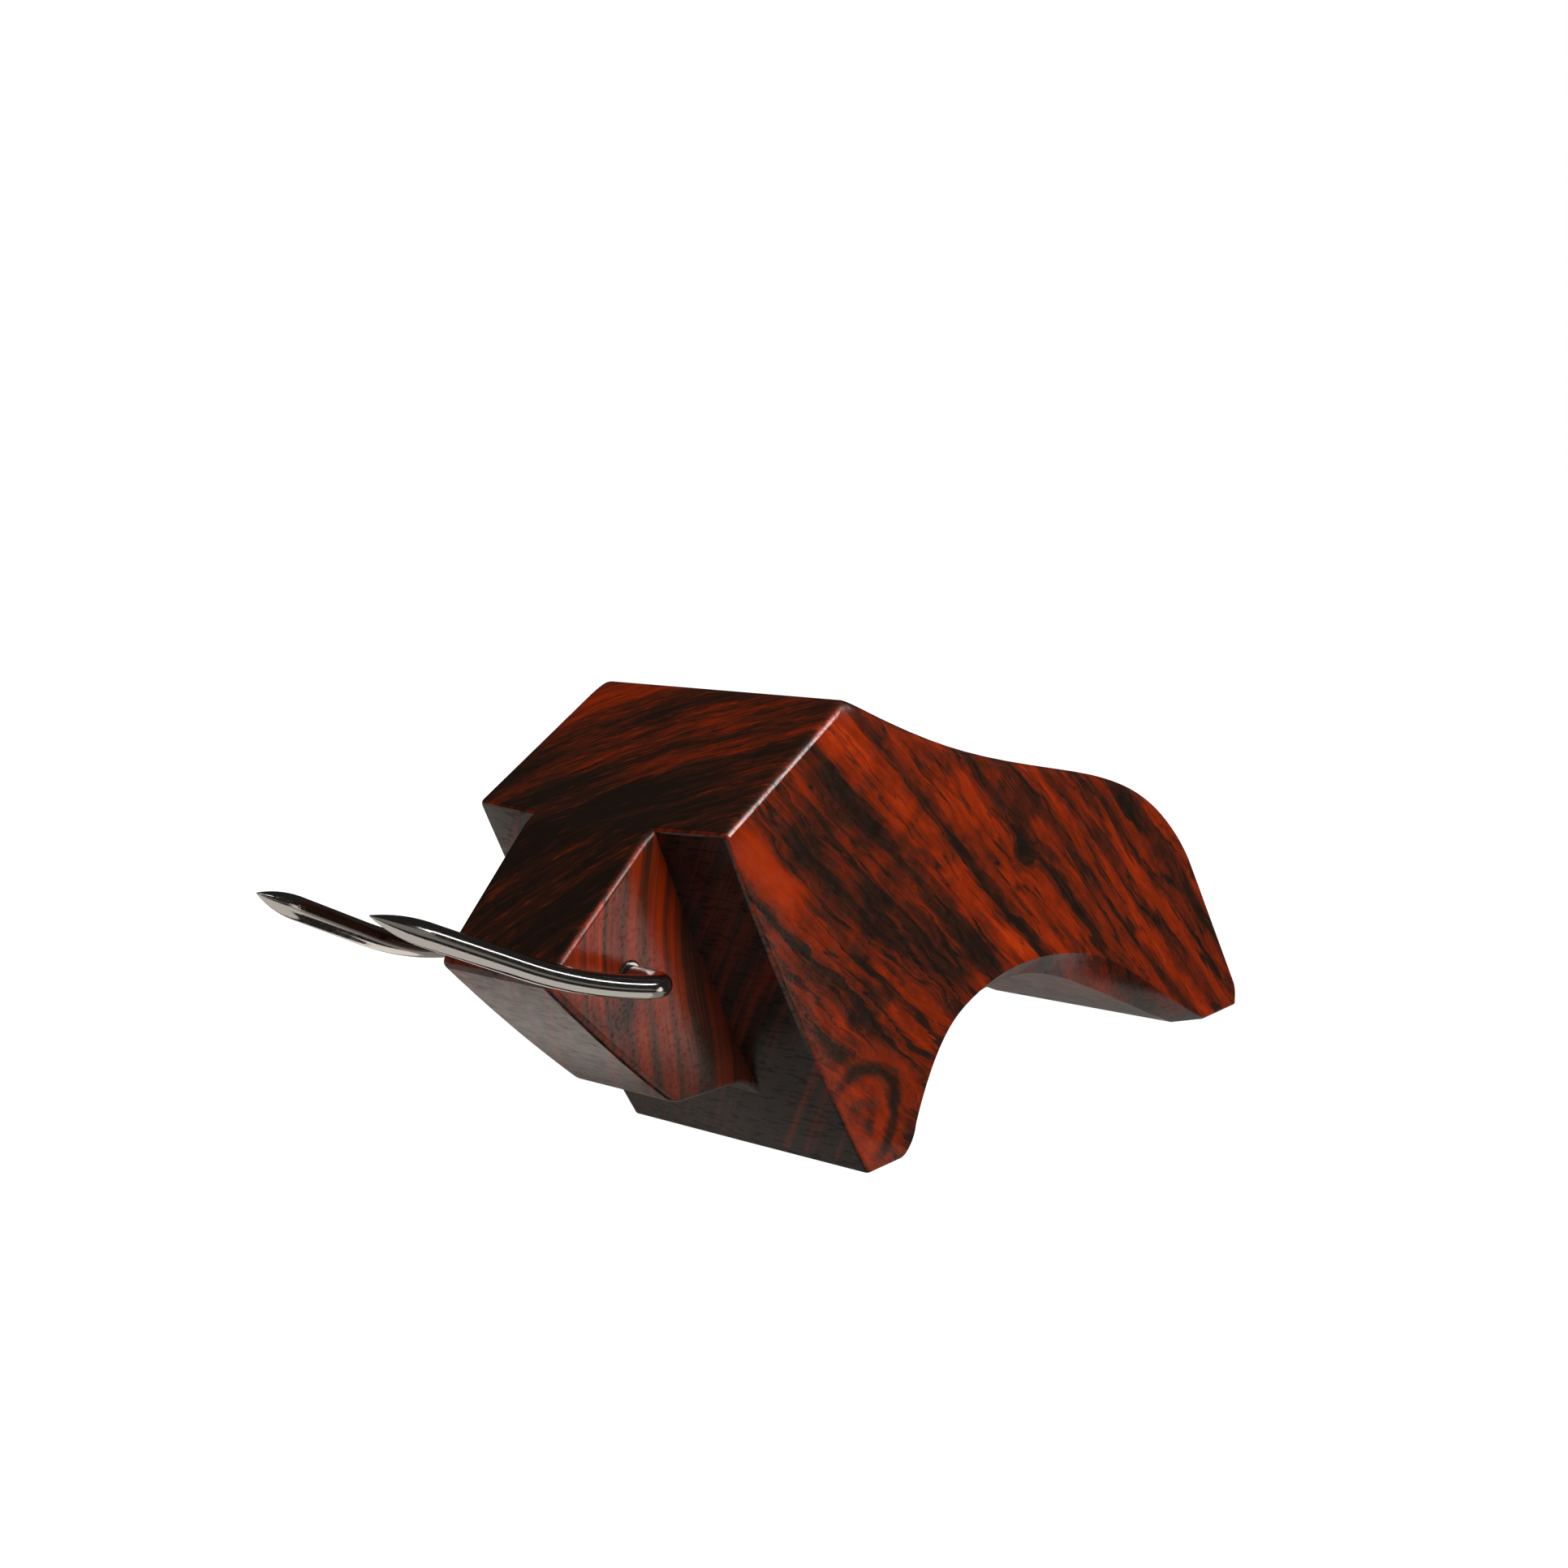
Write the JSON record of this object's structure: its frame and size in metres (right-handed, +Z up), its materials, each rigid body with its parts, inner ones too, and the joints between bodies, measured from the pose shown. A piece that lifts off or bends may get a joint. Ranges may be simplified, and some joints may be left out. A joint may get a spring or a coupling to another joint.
{
  "type": "dip pen holder",
  "caption": "Stylised bull carved from one block of glossy figured rosewood, with bent steel rod horns that a pen is laid across.",
  "frame": {"origin": "centre of the footprint box, on the surface it stands on", "axes": "+Z up; the bull faces -Y, its left side is +X"},
  "size_m": [0.052, 0.2282, 0.0789],
  "materials": {
    "rosewood": "high gloss lacquer over red and black figure",
    "horn_steel": "mirror polished",
    "collar_steel": "mirror polished",
    "felt": "pressed felt"
  },
  "bodies": {
    "root": {"body": "rosewood", "horn_left": "horn_steel", "horn_right": "horn_steel", "horn_collar_left": "collar_steel", "horn_collar_right": "collar_steel", "front_foot_pad": "felt", "rear_foot_pad": "felt"}
  },
  "joints": []
}
